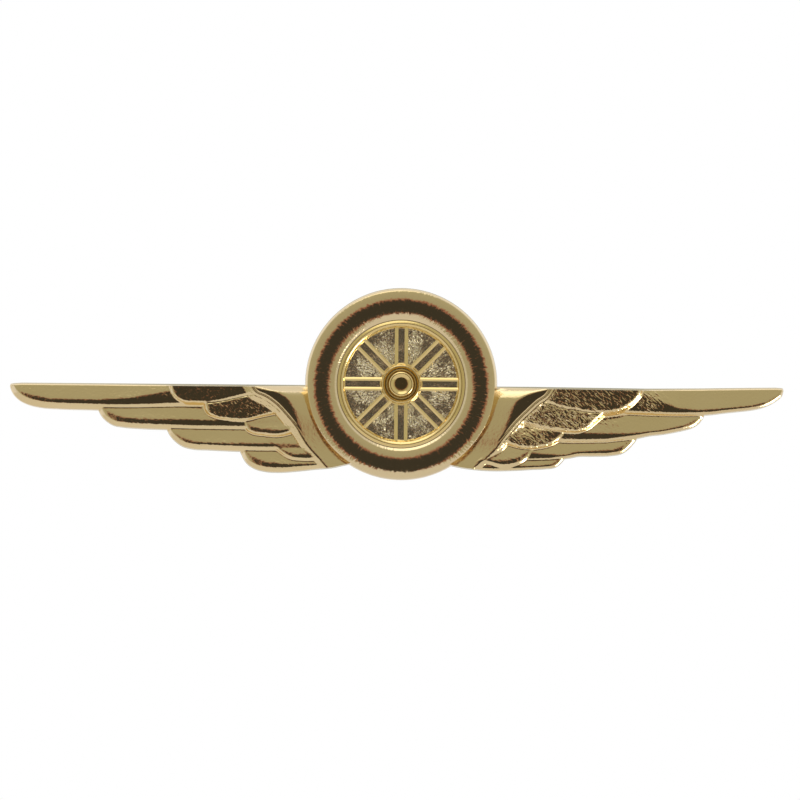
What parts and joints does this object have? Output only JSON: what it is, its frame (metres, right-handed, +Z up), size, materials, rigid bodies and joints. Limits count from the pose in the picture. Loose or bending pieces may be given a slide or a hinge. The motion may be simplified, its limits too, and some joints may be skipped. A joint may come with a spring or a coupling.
{
  "type": "pilot wings pin",
  "caption": "Gold-plated badge shaped as a spoked wheel between two feathered wings, with a hinged pin stem and a turning safety catch on the back.",
  "frame": {"origin": "on the badge's flat back, behind the centre of the wheel", "axes": "+X along the span to the right as the badge is looked at, +Y out of the back towards the garment, +Z up as worn"},
  "size_m": [0.0751, 0.0086, 0.0186],
  "materials": {
    "polished_gold_plate": "die-struck brass, mirror-polished and gold plated",
    "satin_gold_plate": "pressed brass strip, gold plated, left satin",
    "gold_plated_wire": "hard-drawn spring wire, gold flashed"
  },
  "bodies": {
    "badge": {"wings_plate": "polished_gold_plate", "wheel_medallion": "polished_gold_plate", "pin_bar": "satin_gold_plate", "hinge_bracket": "satin_gold_plate", "hinge_rivet": "polished_gold_plate", "catch_housing": "satin_gold_plate"},
    "pin": {"pin_stem": "gold_plated_wire"},
    "catch": {"catch_rotor": "polished_gold_plate"}
  },
  "joints": [
    {"name": "pin_swing", "type": "hinge", "parent": "badge", "child": "pin", "pos_m": [-0.0166, 0.0034, -0.0034], "axis": [0, 0, 1], "range_deg": [0, 100]},
    {"name": "catch_turn", "type": "hinge", "parent": "badge", "child": "catch", "pos_m": [0.0148, 0.0034, -0.0034], "axis": [1, 0, 0], "range_deg": [0, 100]}
  ]
}
